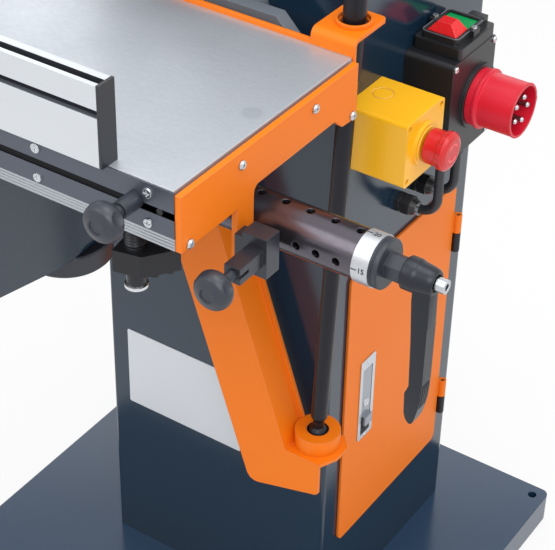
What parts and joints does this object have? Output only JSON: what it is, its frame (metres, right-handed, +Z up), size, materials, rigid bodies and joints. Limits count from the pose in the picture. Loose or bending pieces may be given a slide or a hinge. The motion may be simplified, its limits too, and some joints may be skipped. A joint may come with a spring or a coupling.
{
  "type": "horizontal slot mortiser",
  "caption": "Floor-standing slot mortiser: a sheet-metal cabinet with a drill spindle, and a lever-moved table with fence, index tube and stop.",
  "frame": {"origin": "on the floor, at the middle of the four floor bolt holes", "axes": "+X to the operator's right, +Y away from the operator, +Z up"},
  "size_m": [0.673, 0.7438, 1.043],
  "materials": {
    "slate_paint": "glossy dark blue-grey powder coat",
    "orange_paint": "satin orange powder coat with a fine texture",
    "bright_steel": "bright brushed steel",
    "raw_aluminium": "pale satin aluminium",
    "dark_aluminium": "dark grey anodised aluminium",
    "cast_iron": "dark grey machined casting",
    "burnished_steel": "dark burnished steel",
    "black_steel": "black oxide steel",
    "black_plastic": "satin black plastic",
    "cable_rubber": "black rubber",
    "red_plastic": "glossy red plastic",
    "crimson_plastic": "satin crimson plastic",
    "green_plastic": "glossy green plastic",
    "yellow_plastic": "satin yellow plastic"
  },
  "bodies": {
    "frame": {"base_plate": "slate_paint", "cabinet_shell": "slate_paint", "cabinet_lid": "slate_paint", "door_hinges": "black_steel", "name_plate": "raw_aluminium", "drive_motor": "cast_iron", "motor_shelf": "slate_paint", "spindle_cover": "slate_paint", "switch_box": "black_plastic", "switch_lid": "black_plastic", "power_inlet": "crimson_plastic", "inlet_pins": "bright_steel", "stop_box": "yellow_plastic", "cable_glands": "black_plastic", "front_cable": "cable_rubber", "rear_cable": "cable_rubber", "box_screws": "bright_steel", "console": "cast_iron", "lift_columns": "bright_steel"},
    "door": {"access_door": "orange_paint", "door_latch": "bright_steel"},
    "latch": {"latch_handle": "raw_aluminium"},
    "spindle": {"drill_chuck": "bright_steel"},
    "start": {"start_button": "green_plastic"},
    "off": {"stop_button": "red_plastic"},
    "estop": {"stop_mushroom": "red_plastic"},
    "wheel": {"height_handwheel": "black_plastic", "lead_screw": "bright_steel"},
    "lift": {"lift_block": "cast_iron", "depth_rods": "bright_steel", "lever_arm": "orange_paint", "lever_socket": "orange_paint"},
    "seat": {"lever_seat": "black_plastic"},
    "lever": {"control_lever": "black_steel", "lever_grip": "black_plastic"},
    "cross": {"cross_carriage": "cast_iron", "carriage_apron": "slate_paint", "cross_rods": "bright_steel"},
    "tube": {"index_tube": "burnished_steel", "pitch_ring": "raw_aluminium", "tube_cap": "black_plastic"},
    "clamp": {"clamp_lever": "black_plastic", "clamp_screw": "bright_steel"},
    "table": {"table_top": "bright_steel", "front_profile": "dark_aluminium", "slot_insert": "black_plastic", "ribbed_strip": "raw_aluminium", "rear_rail": "orange_paint", "guide_ring": "orange_paint", "end_plates": "orange_paint", "table_screws": "bright_steel", "table_bearings": "cast_iron", "index_block": "black_steel", "knob_sleeve": "black_plastic", "fence_bar": "raw_aluminium", "fence_caps": "black_plastic", "stop_bracket": "black_steel", "stop_stud": "bright_steel"},
    "plunger": {"index_plunger": "black_plastic"},
    "knob": {"front_knob": "black_plastic"}
  },
  "joints": [
    {"name": "door_hinge", "type": "hinge", "parent": "frame", "child": "door", "pos_m": [0.1654, 0.181, 0.344], "axis": [0, 0, 1], "range_deg": [0, 110]},
    {"name": "latch_pull", "type": "hinge", "parent": "door", "child": "latch", "pos_m": [0.16315, -0.00475, 0.3855], "axis": [0, -1, 0], "range_deg": [0, 40], "stiffness_Nm_per_rad": 0.3},
    {"name": "spindle_spin", "type": "hinge", "parent": "frame", "child": "spindle", "pos_m": [0.0125, -0.1, 0.9445], "axis": [0, -1, 0], "continuous": true},
    {"name": "start_press", "type": "slide", "parent": "frame", "child": "start", "axis": [0, 0, -1], "range_m": [0, 0.003], "stiffness_N_per_m": 800},
    {"name": "off_press", "type": "slide", "parent": "frame", "child": "off", "axis": [0, 0, -1], "range_m": [0, 0.003], "stiffness_N_per_m": 800},
    {"name": "estop_press", "type": "slide", "parent": "frame", "child": "estop", "axis": [-1, 0, 0], "range_m": [0, 0.003], "stiffness_N_per_m": 1500},
    {"name": "lift_slide", "type": "slide", "parent": "frame", "child": "lift", "axis": [0, 0, 1], "range_m": [0, 0.04]},
    {"name": "wheel_turn", "type": "hinge", "parent": "frame", "child": "wheel", "pos_m": [-0.037, -0.264, 0.62], "axis": [0, 0, 1], "range_deg": [0, 1440]},
    {"name": "depth_slide", "type": "slide", "parent": "lift", "child": "cross", "axis": [0, -1, 0], "range_m": [0, 0.1]},
    {"name": "table_slide", "type": "slide", "parent": "cross", "child": "table", "axis": [1, 0, 0], "range_m": [-0.04, 0.04]},
    {"name": "lever_side", "type": "hinge", "parent": "lift", "child": "seat", "pos_m": [0.165, -0.1075, 0.367], "axis": [0, 1, 0], "range_deg": [-4.57, 4.57]},
    {"name": "lever_fore", "type": "hinge", "parent": "seat", "child": "lever", "pos_m": [0.165, -0.1075, 0.367], "axis": [1, 0, 0], "range_deg": [0, 11.39]},
    {"name": "tube_turn", "type": "hinge", "parent": "cross", "child": "tube", "pos_m": [0.2, -0.279, 0.7612], "axis": [1, 0, 0], "range_deg": [0, 90]},
    {"name": "clamp_turn", "type": "hinge", "parent": "tube", "child": "clamp", "pos_m": [0.36, -0.279, 0.7612], "axis": [1, 0, 0], "range_deg": [-60, 60]},
    {"name": "plunger_pull", "type": "slide", "parent": "table", "child": "plunger", "axis": [0, -1, 0], "range_m": [-0.008, 0.004]},
    {"name": "knob_turn", "type": "hinge", "parent": "table", "child": "knob", "pos_m": [0.1675, -0.434, 0.833], "axis": [0, -1, 0], "continuous": true}
  ],
  "couplings": [
    {"joint": "wheel_turn", "follows": "lift_slide", "rad_per_m": 628.32},
    {"joint": "lever_side", "follows": "table_slide", "rad_per_m": 1.9841},
    {"joint": "lever_fore", "follows": "depth_slide", "rad_per_m": 1.9841}
  ]
}
